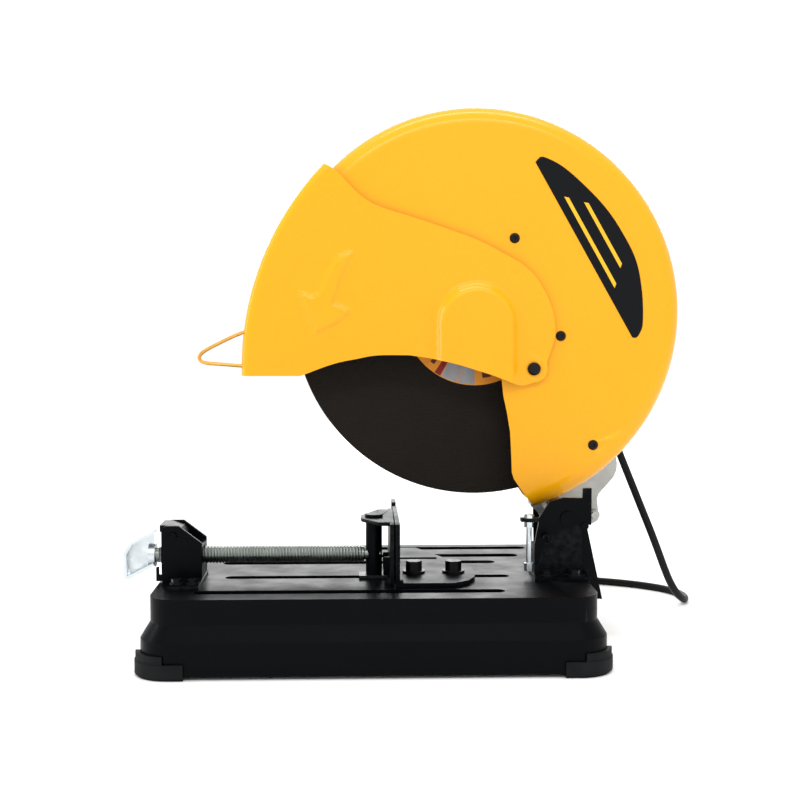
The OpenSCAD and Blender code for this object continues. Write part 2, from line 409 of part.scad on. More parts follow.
module cord_tail() color([0.05,0.05,0.05]) sweep(tail, cord_d/2, 8);
module cord_plug() color([0.06,0.06,0.06]) { xcyl(279, 18, 92, 119, 9, 5.4); xcyl(279, 18, 62, 92.1, 16.5); xcyl(279, 18, 58, 62.1, 17.6); color("silver") { for (y = [272.6,285.4]) bx(41, 58.5, y-0.8, y+0.8, 15, 21.4); xcyl(279, 11, 39, 58.5, 2.4); } bx(66, 88, 266, 292, 0.02, 6); }

base_plate();
rubber_feet();
pivot_bracket();
bracket_bolts();
pivot_pin();
pivot_pin_clips();
return_spring();
depth_stop();
fence();
fence_bolts();
vise_bracket();
vise_bracket_bolts();
deflector_pin();
cord_tube();
cord_coil();
cord_tail();
cord_plug();
spark_deflector();
lock_pin();
half_nut_lever();
jaw_plate();
jaw_post();
jaw_guide();
lead_screw();
crank_handle();
trigger();
spindle_lock();
arm_casting();
gear_case_cover();
cover_screws();
motor_housing();
motor_end_cap();
end_cap_screws();
stator();
brush_caps();
carbon_brushes();
bearings();
handle_upper();
handle_lower();
handle_screws();
switch_module();
carry_handle();
fixed_guard();
guard_screws();
guard_decal();
guard_pivot_screw();
cord_boot();
moving_guard();
lift_loop();
spindle();
spindle_gear();
inner_flange();
outer_flange();
abrasive_wheel();
wheel_label();
arbor_bolt();
armature_shaft();
armature_core();
commutator();
fan();
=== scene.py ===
import math
import bmesh
import bpy
import numpy as np
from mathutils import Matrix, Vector
from mathutils.geometry import delaunay_2d_cdt


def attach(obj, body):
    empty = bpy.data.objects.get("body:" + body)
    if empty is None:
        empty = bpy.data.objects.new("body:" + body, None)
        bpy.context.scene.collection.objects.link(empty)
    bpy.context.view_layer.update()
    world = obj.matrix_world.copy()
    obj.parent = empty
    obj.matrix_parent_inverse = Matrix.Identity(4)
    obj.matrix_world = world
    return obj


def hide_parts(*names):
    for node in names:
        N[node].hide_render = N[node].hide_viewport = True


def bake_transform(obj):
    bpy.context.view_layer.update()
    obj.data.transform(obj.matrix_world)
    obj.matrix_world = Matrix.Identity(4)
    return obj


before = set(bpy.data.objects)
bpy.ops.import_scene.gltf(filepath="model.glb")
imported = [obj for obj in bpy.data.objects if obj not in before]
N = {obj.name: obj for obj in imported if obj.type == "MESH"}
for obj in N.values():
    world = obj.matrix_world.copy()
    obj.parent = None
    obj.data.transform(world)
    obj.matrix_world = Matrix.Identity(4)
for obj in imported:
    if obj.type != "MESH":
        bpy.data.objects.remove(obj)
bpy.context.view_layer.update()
scene = bpy.context.scene

# ---------------------------------------------------------------- camera
cam = bpy.data.objects.new("camera", bpy.data.cameras.new("camera"))
scene.collection.objects.link(cam)
cam.data.lens = 57.3
cam.data.sensor_width = 36.0
cam.data.clip_end = 50
cam.location = (-0.0127, -1.2177, 0.3102)
yaw, pitch = math.radians(1.80), math.radians(3.64)
cam.rotation_euler = Vector((math.sin(yaw) * math.cos(pitch), math.cos(yaw) * math.cos(pitch), -math.sin(pitch))).to_track_quat("-Z", "Y").to_euler()
scene.camera = cam
scene.view_settings.view_transform = "Standard"


# ---------------------------------------------------------------- materials
def srgb(r, g, b):
    return tuple((c / 255 / 12.92 if c / 255 <= 0.04045 else ((c / 255 + 0.055) / 1.055) ** 2.4) for c in (r, g, b)) + (1.0,)


class Mat:
    """A node material built step by step round one Principled shader."""

    def __init__(self, name, color, rough=0.5, metal=0.0, spec=0.5, coat=0.0, coat_rough=0.1):
        self.m = bpy.data.materials.new(name)
        self.m.use_nodes = True
        self.t = self.m.node_tree
        self.b = self.t.nodes["Principled BSDF"]
        self.color, self.rough = color, rough
        self.b.inputs["Base Color"].default_value = color
        self.b.inputs["Roughness"].default_value = rough
        self.b.inputs["Metallic"].default_value = metal
        self.b.inputs["Specular IOR Level"].default_value = spec
        self.b.inputs["Coat Weight"].default_value = coat
        self.b.inputs["Coat Roughness"].default_value = coat_rough
        self.co = self.n("ShaderNodeTexCoord").outputs["Object"]
        self.col = None
        self.nrm = None

    def n(self, kind, **kw):
        x = self.t.nodes.new(kind)
        for k, v in kw.items():
            setattr(x, k, v)
        return x

    def link(self, a, b):
        self.t.links.new(a, b)

    def noise(self, scale, detail=4, rough=0.55, co=None, stretch=None):
        x = self.n("ShaderNodeTexNoise")
        x.inputs["Scale"].default_value = scale
        x.inputs["Detail"].default_value = detail
        x.inputs["Roughness"].default_value = rough
        src = co or self.co
        if stretch:
            mp = self.n("ShaderNodeMapping")
            mp.inputs["Scale"].default_value = stretch
            self.link(src, mp.inputs["Vector"])
            src = mp.outputs[0]
        self.link(src, x.inputs["Vector"])
        return x.outputs["Fac"]

    def ramp(self, fac, a, b, lo=0.0, hi=1.0):
        x = self.n("ShaderNodeMapRange")
        x.inputs["From Min"].default_value = a
        x.inputs["From Max"].default_value = b
        x.inputs["To Min"].default_value = lo
        x.inputs["To Max"].default_value = hi
        self.link(fac, x.inputs["Value"])
        return x.outputs[0]

    def math(self, op, a, b=None):
        x = self.n("ShaderNodeMath", operation=op)
        for i, v in enumerate((a, b)):
            if v is None:
                continue
            if isinstance(v, (int, float)):
                x.inputs[i].default_value = v
            else:
                self.link(v, x.inputs[i])
        return x.outputs[0]

    def mixcol(self, fac, other):
        """Mix the colour so far towards another, by fac."""
        x = self.n("ShaderNodeMix", data_type="RGBA")
        self.link(fac, x.inputs[0])
        if self.col is None:
            x.inputs[6].default_value = self.color
        else:
            self.link(self.col, x.inputs[6])
        x.inputs[7].default_value = other
        self.col = x.outputs[2]
        self.link(self.col, self.b.inputs["Base Color"])

    def roughness(self, fac, lo, hi, a=0.3, b=0.7):
        self.link(self.ramp(fac, a, b, lo, hi), self.b.inputs["Roughness"])

    def bump(self, fac, dist, strength=1.0):
        x = self.n("ShaderNodeBump")
        x.inputs["Distance"].default_value = dist
        x.inputs["Strength"].default_value = strength
        self.link(fac, x.inputs["Height"])
        if self.nrm is not None:
            self.link(self.nrm, x.inputs["Normal"])
        self.nrm = x.outputs[0]
        self.link(self.nrm, self.b.inputs["Normal"])

    def edges(self, amount, other, a=0.53, b=0.60):
        """Lighter colour on sharp edges, from the mesh's pointiness broken up by noise; on the paints it is a painted
        edge highlight.
        """
        g = self.n("ShaderNodeNewGeometry")
        e = self.ramp(g.outputs["Pointiness"], a, b, 0.0, amount)
        k = self.ramp(self.noise(160, 5), 0.38, 0.62)
        self.mixcol(self.math("MULTIPLY", e, k), other)


def paint(name, color, dark, rough, coat, peel=0.00012, edge=None, edge_highlight_amt=0.5, spec=0.5):
    m = Mat(name, color, rough, spec=spec, coat=coat, coat_rough=0.12)
    big = m.noise(9, 3)
    m.mixcol(m.ramp(big, 0.35, 0.7, 0.0, 0.28), dark)
    # the edge colour is a painted highlight: a lighter tone on sharp edges where they would catch the light
    if edge:
        m.edges(edge_highlight_amt, edge)
    m.roughness(m.noise(38, 5), rough - 0.06, rough + 0.09)
    m.bump(m.noise(620, 2, 0.4), peel, 0.55)
    m.bump(m.noise(60, 2), peel * 2.2, 0.25)
    return m.m


def metal(name, color, dark, rough, stretch=(1, 1, 1), scale=140, depth=0.00008, metalness=1.0):
    m = Mat(name, color, rough, metal=metalness)
    m.mixcol(m.ramp(m.noise(45, 6), 0.35, 0.75, 0.0, 0.55), dark)
    m.roughness(m.noise(scale, 5, stretch=stretch), rough - 0.08, rough + 0.14)
    m.bump(m.noise(scale * 2.2, 4, stretch=stretch), depth, 0.5)
    return m.m


def plastic(name, color, light, rough, grain=900, depth=0.00012):
    m = Mat(name, color, rough, spec=0.16)
    m.mixcol(m.ramp(m.noise(30, 4), 0.4, 0.75, 0.0, 0.4), light)
    m.edges(0.35, light)
    m.roughness(m.noise(80, 4), rough - 0.07, rough + 0.1)
    m.bump(m.noise(grain, 3, 0.6), depth, 0.7)
    return m.m


# the lighter yellow edge colour is a painted highlight along sharp edges
yellow = paint("yellow_powder_coat", srgb(238, 165, 2), srgb(232, 159, 1), 0.28, 0.16, edge=srgb(255, 208, 66), edge_highlight_amt=0.3, spec=0.26)
# the grey edge colour on the black paint is a painted edge sheen
black = paint("black_powder_coat", (0.0009, 0.0013, 0.002, 1), (0.0005, 0.0008, 0.0013, 1), 0.36, 0.0, peel=0.00014, edge=srgb(40, 44, 48), edge_highlight_amt=0.45, spec=0.06)
black_top = black
decal_black = paint("black_decal_film", (0.004, 0.0045, 0.006, 1), (0.003, 0.0034, 0.0045, 1), 0.45, 0.0, peel=0.00004, spec=0.1)
zinc = metal("bright_zinc", srgb(214, 221, 224), srgb(170, 180, 186), 0.30)
steel = metal("dark_steel", srgb(58, 58, 60), srgb(36, 36, 38), 0.36)
bolt_black = metal("blackened_bolt", srgb(20, 20, 22), srgb(10, 10, 12), 0.38, metalness=0.7)
screw_m = metal("rolled_thread_steel", srgb(142, 148, 144), srgb(92, 98, 94), 0.33, stretch=(0.3, 1, 1))
turned = metal("turned_steel", srgb(170, 172, 175), srgb(140, 142, 146), 0.28, stretch=(1, 6, 1))
loop_m = metal("wire_loop_gilt", srgb(224, 170, 84), srgb(190, 128, 52), 0.30)
plast = plastic("black_moulded_plastic", srgb(12, 13, 15), srgb(26, 27, 30), 0.52)
plast2 = plastic("grey_black_plastic", srgb(33, 34, 37), srgb(52, 53, 56), 0.55)
red = plastic("red_moulded_plastic", srgb(176, 30, 22), srgb(196, 52, 40), 0.42)
rubber = plastic("black_rubber", srgb(8, 10, 11), srgb(20, 23, 25), 0.68, grain=520, depth=0.0002)
cable = plastic("cable_sheath", srgb(10, 11, 12), srgb(24, 25, 27), 0.5, grain=300, depth=0.0001)

# sand-cast aluminium
m = Mat("sand_cast_aluminium", srgb(176, 179, 176), 0.46, metal=0.75)
m.mixcol(m.ramp(m.noise(26, 5), 0.35, 0.7, 0.0, 0.5), srgb(150, 154, 152))
m.edges(0.6, srgb(222, 224, 222))
m.roughness(m.noise(90, 5), 0.36, 0.58)
m.bump(m.noise(420, 5, 0.7), 0.00035, 0.6)
alu = m.m

# resin-bonded abrasive with a woven glass mesh under the surface
m = Mat("bonded_abrasive", srgb(28, 24, 20), 0.82, spec=0.15)
sep = m.n("ShaderNodeSeparateXYZ")
m.link(m.co, sep.inputs[0])
wx_ = m.math("ABSOLUTE", m.math("SINE", m.math("MULTIPLY", m.math("ADD", sep.outputs["X"], m.math("MULTIPLY", sep.outputs["Z"], 0.14)), 900.0)))
wz_ = m.math("ABSOLUTE", m.math("SINE", m.math("MULTIPLY", m.math("SUBTRACT", sep.outputs["Z"], m.math("MULTIPLY", sep.outputs["X"], 0.14)), 900.0)))
weave = m.math("MULTIPLY", m.math("POWER", wx_, 0.6), m.math("POWER", wz_, 0.6))
grit = m.noise(1500, 6, 0.75)
m.mixcol(m.ramp(grit, 0.52, 0.72, 0.0, 0.8), srgb(58, 51, 45))
m.mixcol(m.ramp(weave, 0.15, 0.9, 0.35, 0.0), srgb(14, 12, 10))
m.mixcol(m.ramp(m.noise(14, 4), 0.4, 0.7, 0.0, 0.5), srgb(22, 19, 16))
m.roughness(grit, 0.7, 0.95)
m.bump(grit, 0.0005, 0.7)
m.bump(weave, 0.0004, 0.6)
abrasive = m.m

# enamelled copper and laminations
m = Mat("copper_windings", srgb(150, 84, 50), 0.4, metal=0.8)
m.mixcol(m.ramp(m.noise(60, 4, stretch=(1, 0.05, 1)), 0.4, 0.6), srgb(96, 52, 32))
m.bump(m.noise(500, 2, stretch=(1, 0.05, 1)), 0.0003, 0.8)
m.roughness(m.noise(120, 4), 0.3, 0.5)
copper = m.m


def printed(name, color, other):
    m = Mat(name, color, 0.55, spec=0.35)
    m.mixcol(m.ramp(m.noise(70, 5), 0.42, 0.66, 0.0, 0.45), other)
    m.roughness(m.noise(200, 4), 0.45, 0.65)
    m.bump(m.noise(1200, 3), 0.00005, 0.6)
    return m.m


paper_orange = printed("label_orange", srgb(232, 150, 30), srgb(206, 116, 20))
paper_dark = printed("label_brown", srgb(92, 40, 14), srgb(70, 28, 10))
paper_grey = printed("label_grey", srgb(158, 158, 160), srgb(122, 122, 126))
paper_red = printed("label_red", srgb(140, 20, 14), srgb(104, 14, 10))
stripe = printed("decal_stripe", srgb(242, 182, 30), srgb(232, 168, 22))


# ---------------------------------------------------------------- mesh helpers
def new_mesh(name, verts, faces, mat, smooth=True):
    me = bpy.data.meshes.new(name)
    me.from_pydata([tuple(v) for v in verts], [], faces)
    me.validate()
    me.materials.append(mat)
    if smooth:
        me.shade_smooth()
    o = bpy.data.objects.new(name, me)
    scene.collection.objects.link(o)
    return o


def tube(name, path, radius, mat, sides=12, caps=True):
    """A round tube on a path, with frames carried along it so that it doesn't twist."""
    p = np.array(path, float)
    t = np.gradient(p, axis=0)
    t /= np.linalg.norm(t, axis=1)[:, None]
    u = np.cross(t[0], [0, 0, 1.0] if abs(t[0][2]) < 0.9 else [0, 1.0, 0])
    verts, faces = [], []
    r = radius if hasattr(radius, "__len__") else [radius] * len(p)
    for i in range(len(p)):
        u = u - t[i] * np.dot(u, t[i])
        u /= np.linalg.norm(u)
        v = np.cross(t[i], u)
        for k in range(sides):
            a = 2 * math.pi * k / sides
            verts.append(p[i] + r[i] * (math.cos(a) * u + math.sin(a) * v))
    for i in range(len(p) - 1):
        for k in range(sides):
            k2 = (k + 1) % sides
            faces.append((i * sides + k, i * sides + k2, (i + 1) * sides + k2, (i + 1) * sides + k))
    if caps:
        faces.append(tuple(range(sides))[::-1])
        faces.append(tuple((len(p) - 1) * sides + k for k in range(sides)))
    o = new_mesh(name, verts, faces, mat)
    return o


def catmull(pts, step, closed=False):
    """A smooth curve through the points, sampled about every step."""
    p = [np.array(q, float) for q in pts]
    n = len(p)
    out = []
    for i in range(n if closed else n - 1):
        p0 = p[(i - 1) % n] if closed or i > 0 else 2 * p[0] - p[1]
        p1, p2 = p[i], p[(i + 1) % n]
        p3 = p[(i + 2) % n] if closed or i + 2 < n else 2 * p[-1] - p[-2]
        k = max(2, int(np.linalg.norm(p2 - p1) / step))
        for j in range(k):
            s = j / k
            out.append(0.5 * (2 * p1 + (p2 - p0) * s + (2 * p0 - 5 * p1 + 4 * p2 - p3) * s * s + (3 * p1 - p0 - 3 * p2 + p3) * s ** 3))
    if not closed:
        out.append(p[-1])
    return out


MM = 0.001

# ---------------------------------------------------------------- cord
route = [[217,120,279],[221,120,269],[228,120,251.5],[237,120,230],[246,120,208.5],[255,120,187],[263.6,120,165.5],[272.4,120,144],[281,120,123],[289.6,120,102],[298,120,81.5],[305.6,120.5,62],[312.8,122,43.5],[320.5,125.5,27],[329.5,131.5,14],[338,141,6.6],[343.5,154,4.2],[345,169,4],[342,185,4],[334,201,4],[321,216,4],[305,229,4],[286,240.5,4],[266,250,4],[246,258,4],[228,264.5,4],[212,269,4],[199,271.5,4]]
tail = [[176,275.5,28],[166,277.6,27],[156,278.6,24.6],[146,279,21.6],[136,279,19.4],[127,279,18.2],[119.5,279,18]]
CX, CY = 190.0, 220.0
coil = []
ang, z = 90.0, 4.1
for layer in range(4):
    sweep_a = 720.0 if layer < 3 else 570.0
    r0, r1 = (52.6, 36.0) if layer % 2 == 0 else (36.0, 52.6)
    steps = int(sweep_a / 12)
    for i in range(steps + 1):
        f = i / steps
        a = math.radians(ang + sweep_a * f)
        r = r0 + (r1 - r0) * f
        coil.append([CX + r * math.cos(a), CY + r * math.sin(a), z])
    ang += sweep_a
    if layer < 3:
        for i in range(1, 5):
            f = i / 5
            s = f * f * (3 - 2 * f)
            a = math.radians(ang + 50 * f)
            coil.append([CX + r1 * math.cos(a), CY + r1 * math.sin(a), z + 8.05 * s])
        ang += 50
        z += 8.05
cord_pts = np.array(catmull(route + coil + tail, 2.2)) * MM
cord = tube("mains_cord", cord_pts, 0.004, cable, 12)
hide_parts("cord_tube", "cord_coil", "cord_tail")
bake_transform(cord)

# ---------------------------------------------------------------- moving guard
GX, GZ = 154.0, 262.5
face = [[-46,457],[-34,449.5],[-24,439],[-14,429],[-3,421],[11,415],[25.5,410.5],[49.5,403],[77,393.7],[101,384.7],[121.3,374.4],[140,364],[153.7,352.2],[164,337],[170.6,321.7],[174.1,306.4],[174,293],[170.6,280.6],[167,270]]
lobe = [[GX + 13.2 * math.cos(math.radians(a)), GZ + 13.2 * math.sin(math.radians(a))] for a in range(15, -91, -15)]
low = [[144,246.4],[136,247.6],[128.6,250.8],[113.3,256.7],[98,261.5],[82.8,266.3],[67.5,270],[52,273],[42.7,274.4]]
low2 = [[35,275.6],[14,275.8],[-1,275],[-16.5,272],[-31.8,269],[-47,264.4],[-62.3,258.6],[-70,255.9]]
A0, A1 = 181.35, 135.95
R_OUT, R_SH = 279.95, 7.0


def arc(r, n=46):
    return [[GX + r * math.cos(math.radians(A0 + (A1 - A0) * i / n)), GZ + r * math.sin(math.radians(A0 + (A1 - A0) * i / n))] for i in range(n + 1)]


def resample(pts, step):
    return [list(q) for q in catmull(pts, step)]


edge_pts = resample(face + lobe + low, 2.5) + resample(low2, 2.5)
# straight bottom edge from the last point to the front arc
arc_out = arc(R_OUT)
x0, z0 = edge_pts[-1]
xa, za = arc_out[0]
nb = 20
edge_pts += [[x0 + (xa - x0) * i / nb, z0 + (za - z0) * i / nb] for i in range(1, nb)]
loop = edge_pts + arc_out
n_arc = len(arc_out)
loop = np.array(loop)
clean = [loop[0]]
for q in loop[1:]:
    if np.linalg.norm(q - clean[-1]) > 0.25:
        clean.append(q)
loop = np.array(clean)

arrow = np.array([((x - 360) * .95469 - 12.7, 310.2 - (y - 319) * .95469) for x, y in [(354,252.7),(346.7,252.7),(339.3,256.7),(336,260),(331,266.7),(328,273),(325.3,280),(320,291),(313,296.7),(299,291.3),(306,312),(316.7,333),(330,327),(342,320),(351,310.5),(338,304.7),(333,303.5),(336,295),(338,289),(342,276),(348,265)]])


def seg_dist(p, a, b):
    d = b - a
    t = np.clip(((p - a) @ d) / (d @ d), 0, 1)
    return np.linalg.norm(p - (a + t[:, None] * d), axis=1)


def inside(p, poly):
    x, y = p[:, 0], p[:, 1]
    c = np.zeros(len(p), bool)
    for i in range(len(poly)):
        (x1, y1), (x2, y2) = poly[i - 1], poly[i]
        k = ((y1 > y) != (y2 > y)) & (x < (x2 - x1) * (y - y1) / (y2 - y1 + 1e-12) + x1)
        c ^= k
    return c


def smooth(v):
    v = np.clip(v, 0, 1)
    return v * v * (3 - 2 * v)


def height(p):
    """How far the pressed sheet stands towards -Y at points (x, z), in mm."""
    h = np.zeros(len(p))
    # boss over the hub: an arch open at its lower end
    dx = p[:, 0] - 99.0
    dz = p[:, 1] - 305.5
    d = np.where(dz > 0, np.hypot(dx, dz), np.abs(dx))
    h = np.maximum(h, 8.2 * smooth((41.5 - d) / 10.0))
    # direction arrow, pressed out
    da = np.full(len(p), 1e9)
    for i in range(len(arrow)):
        da = np.minimum(da, seg_dist(p, arrow[i - 1], arrow[i]))
    da = np.where(inside(p, arrow), da, -da)
    h = np.maximum(h, 2.3 * smooth((da + 1.2) / 3.0))
    # two small dimples
    for cx_, cz_ in ((-13.9, 418.8), (135.8, 354.1)):
        h -= 1.1 * smooth(1 - np.hypot(p[:, 0] - cx_, p[:, 1] - cz_) / 4.2)
    # dished seat round the pivot screw
    rp = np.hypot(p[:, 0] - GX, p[:, 1] - GZ)
    h += 0.9 * np.exp(-((rp - 9.8) / 1.4) ** 2)
    # the step along the lower edge beside the arch
    h += 0.5 * smooth((p[:, 0] - 38) / 3) * smooth((52 - p[:, 0]) / 3) * smooth((284 - p[:, 1]) / 6)
    # shoulder rolling back into the rim
    s = np.clip(rp - (R_OUT - R_SH), 0, R_SH - 1e-6)
    h -= R_SH - np.sqrt(np.maximum(R_SH * R_SH - s * s, 0))
    return h


def guard_sheet():
    inner = []
    grid = 2.4
    for r in (R_OUT - 0.12, R_OUT - 0.5, R_OUT - 1.1, R_OUT - 2.0, R_OUT - 3.2, R_OUT - 4.8, R_OUT - 7.0, R_OUT - 9.2):
        inner += arc(r)[1:-1]
    # finer rings round the boss and the screw
    for r in (29.5, 31.5, 33.2, 34.8, 36.3, 37.8, 39.4, 41.5):
        n = 64
        inner += [[99 + r * math.cos(math.pi * i / n), 305.5 + r * math.sin(math.pi * i / n)] for i in range(n + 1)]
        inner += [[99 + s * r, 305.5 - 3.1 * k] for s in (-1, 1) for k in range(1, 16)]
    for r in (8.2, 9.8, 11.6):
        inner += [[GX + r * math.cos(2 * math.pi * i / 28), GZ + r * math.sin(2 * math.pi * i / 28)] for i in range(28)]
    hole = [[GX + 4.3 * math.cos(2 * math.pi * i / 24), GZ + 4.3 * math.sin(2 * math.pi * i / 24)] for i in range(24)]
    for k in range(len(arrow)):
        a, b = arrow[k - 1], arrow[k]
        for i in range(0, max(1, int(np.linalg.norm(b - a) / 1.6))):
            inner.append(list(a + (b - a) * i / max(1, int(np.linalg.norm(b - a) / 1.6))))
    xs = np.arange(-128, 176, grid)
    zs = np.arange(246, 460, grid)
    g = np.array([[x + (grid / 2 if j % 2 else 0), z_] for j, z_ in enumerate(zs) for x in xs])
    rp = np.hypot(g[:, 0] - GX, g[:, 1] - GZ)
    g = g[rp < R_OUT - 10.4]
    near_arrow = np.full(len(g), 1e9)
    for k in range(len(arrow)):
        near_arrow = np.minimum(near_arrow, seg_dist(g, arrow[k - 1], arrow[k]))
    g = g[near_arrow > 0.9]
    rings = np.hypot(g[:, 0] - 99, g[:, 1] - 305.5)
    flank = (np.abs(g[:, 0] - 99) > 28.6) & (np.abs(g[:, 0] - 99) < 42.3)
    keep = ~(((g[:, 1] > 305.5) & (rings > 28.6) & (rings < 42.3)) | ((g[:, 1] <= 305.5) & flank))
    g = g[keep]
    rpp = np.hypot(g[:, 0] - GX, g[:, 1] - GZ)
    g = g[(rpp > 12.6)]
    pts = np.array(inner + g.tolist())
    pts = pts[inside(pts, loop)]
    dl = np.full(len(pts), 1e9)
    for i in range(len(loop)):
        dl = np.minimum(dl, seg_dist(pts, loop[i - 1], loop[i]))
    rr_ = np.hypot(pts[:, 0] - GX, pts[:, 1] - GZ)
    pts = pts[(dl > 0.8) | ((rr_ > R_OUT - 1.5) & (dl > 0.05))]
    nl, nh = len(loop), len(hole)
    co = [Vector(q) for q in loop.tolist()] + [Vector(q) for q in hole] + [Vector(q) for q in pts.tolist()]
    edges = [(i, (i + 1) % nl) for i in range(nl)] + [(nl + i, nl + (i + 1) % nh) for i in range(nh)]
    out = delaunay_2d_cdt(co, edges, [list(range(nl)), list(range(nl, nl + nh))[::-1]], 1, 1e-4)
    v2, _, tris = out[0], out[1], out[2]
    v2 = np.array([list(v) for v in v2])
    # drop what lies in the screw's hole
    keep = []
    for f in tris:
        c = v2[list(f)].mean(0)
        if math.hypot(c[0] - GX, c[1] - GZ) > 4.2:
            keep.append(f)
    h = height(v2)
    y = -2.15 - h
    verts = [(v2[i][0] * MM, y[i] * MM, v2[i][1] * MM) for i in range(len(v2))]
    me = bpy.data.meshes.new("front_guard")
    me.from_pydata(verts, [], keep)
    bm = bmesh.new()
    bm.from_mesh(me)
    bmesh.ops.delete(bm, geom=[v for v in bm.verts if not v.link_faces], context="VERTS")
    bmesh.ops.recalc_face_normals(bm, faces=bm.faces)
    # the rim: carry the front arc's boundary back to the motor side
    arc_edges = [e for e in bm.edges if e.is_boundary and all(abs(math.hypot(v.co.x / MM - GX, v.co.z / MM - GZ) - R_OUT) < 0.06 for v in e.verts)]
    geom = arc_edges
    for ystep in (6.0, 12.0, 24.0, 36.0, 48.0, 58.0, 62.5):
        ret = bmesh.ops.extrude_edge_only(bm, edges=geom)
        vs = [v for v in ret["geom"] if isinstance(v, bmesh.types.BMVert)]
        for v in vs:
            v.co.y = ystep * MM
        geom = [e for e in ret["geom"] if isinstance(e, bmesh.types.BMEdge)]
    # narrow lip turned in on the motor side
    for k, (dr, dy) in enumerate(((0.6, 0.9), (2.0, 1.3), (6.0, 1.3), (11.0, 1.3))):
        ret = bmesh.ops.extrude_edge_only(bm, edges=geom)
        vs = [v for v in ret["geom"] if isinstance(v, bmesh.types.BMVert)]
        for v in vs:
            x_, z_ = v.co.x / MM - GX, v.co.z / MM - GZ
            r_ = math.hypot(x_, z_)
            f = (R_OUT - dr) / r_ if k == 0 else (R_OUT - dr) / r_
            v.co.x, v.co.z = (GX + x_ * f) * MM, (GZ + z_ * f) * MM
            v.co.y = (62.5 + dy) * MM
        geom = [e for e in ret["geom"] if isinstance(e, bmesh.types.BMEdge)]
    bmesh.ops.recalc_face_normals(bm, faces=bm.faces)
    up = sum((f.normal.y for f in bm.faces if abs(f.normal.y) > 0.9 and f.calc_center_median().y < 0))
    if up > 0:
        bmesh.ops.reverse_faces(bm, faces=bm.faces)
    bm.to_mesh(me)
    bm.free()
    me.materials.append(yellow)
    me.shade_smooth()
    o = bpy.data.objects.new("front_guard", me)
    scene.collection.objects.link(o)
    s = o.modifiers.new("sheet", "SOLIDIFY")
    s.thickness = 0.0015
    s.offset = -1.0
    b = o.modifiers.new("edge", "BEVEL")
    b.width, b.segments, b.limit_method, b.angle_limit = 0.00035, 2, "ANGLE", math.radians(60)
    w = o.modifiers.new("normals", "WEIGHTED_NORMAL")
    w.keep_sharp = False
    return o


guard = guard_sheet()
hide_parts("moving_guard")
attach(guard, "guard")

# lifting loop, a bent wire tacked to the inside of the guard's rim
loop_path = catmull([[-117.5,2.6,300.2],[-122,2.6,298.4],[-134,2.6,293.4],[-147,2.6,287.2],[-157,2.6,282],[-163.2,2.6,278],[-166,2.6,273.8],[-164.4,2.6,270.2],[-159,2.6,268.2],[-147,2.6,267.2],[-134,2.6,266.2],[-122,2.6,265.2],[-117.5,2.6,264.9]], 1.5)
wire = tube("lift_loop_wire", np.array(loop_path) * MM, 0.00175, loop_m, 12)
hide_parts("lift_loop")
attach(wire, "guard")

# ---------------------------------------------------------------- decal
outer = catmull([[154.8,459.4],[158,463],[162.6,464.4],[180,456],[200,439.5],[222,417],[238.5,393.5],[252.5,366],[258.6,335.5],[259.6,307],[257,297],[253.3,292.2],[249.5,292.6]], 2.0)
poly = [tuple(q) for q in outer]


def flat_panel(name, pts, y0, y1, mat, body, bevel=0.0001):
    """A thin plate in the XZ plane between y0 and y1 (mm), with a softened edge."""
    n = len(pts)
    verts = [(x * MM, y0 * MM, z_ * MM) for x, z_ in pts] + [(x * MM, y1 * MM, z_ * MM) for x, z_ in pts]
    faces = [tuple(range(n)), tuple(range(2 * n - 1, n - 1, -1))] + [(i, n + i, n + (i + 1) % n, (i + 1) % n) for i in range(n)]
    o = new_mesh(name, verts, faces, mat, smooth=False)
    bm = bmesh.new()
    bm.from_mesh(o.data)
    bmesh.ops.recalc_face_normals(bm, faces=bm.faces)
    bm.to_mesh(o.data)
    bm.free()
    if bevel:
        b = o.modifiers.new("edge", "BEVEL")
        b.width, b.segments, b.limit_method = bevel, 2, "ANGLE"
    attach(o, body)
    return o


panel = flat_panel("guard_panel", poly, 2.56, 2.97, decal_black, "head")
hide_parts("guard_decal")
# plain generic stripes on the panel, following its straight edge
ax, az = 154.8, 459.4
bx_, bz_ = 249.5, 292.6
dl_ = math.hypot(bx_ - ax, bz_ - az)
ux, uz = (bx_ - ax) / dl_, (bz_ - az) / dl_
nx_, nz_ = -uz, ux
if nx_ < 0:
    nx_, nz_ = -nx_, -nz_
for i, (s0, s1, o0, o1) in enumerate(((42, 142, 8, 11.5), (56, 128, 22, 25.5))):
    q = [(ax + ux * a + nx_ * b_, az + uz * a + nz_ * b_) for a, b_ in ((s0, o0), (s1, o0), (s1 - 3, o1), (s0 + 3, o1))]
    st = flat_panel(f"panel_stripe_{i}", q, 2.46, 2.57, stripe, "head", bevel=0.00003)

# ---------------------------------------------------------------- wheel label
WX, WZ = 100.0, 315.6


def ring_sector(name, r0, r1, a0, a1, y0, y1, mat):
    n = max(3, int(abs(a1 - a0) / 3))
    verts, faces = [], []
    for i in range(n + 1):
        a = math.radians(a0 + (a1 - a0) * i / n)
        for r, y in ((r0, y1), (r0, y0), (r1, y0), (r1, y1)):
            verts.append(((WX + r * math.cos(a)) * MM, y * MM, (WZ + r * math.sin(a)) * MM))
    for i in range(n):
        for k in range(4):
            k2 = (k + 1) % 4
            faces.append((i * 4 + k, i * 4 + k2, (i + 1) * 4 + k2, (i + 1) * 4 + k))
    if abs(a1 - a0) < 359.9:
        faces += [(0, 3, 2, 1), tuple(n * 4 + k for k in range(4))]
    o = new_mesh(name, verts, faces, mat, smooth=False)
    bm = bmesh.new()
    bm.from_mesh(o.data)
    bmesh.ops.remove_doubles(bm, verts=bm.verts, dist=1e-7)
    bmesh.ops.recalc_face_normals(bm, faces=bm.faces)
    bm.to_mesh(o.data)
    bm.free()
    return o


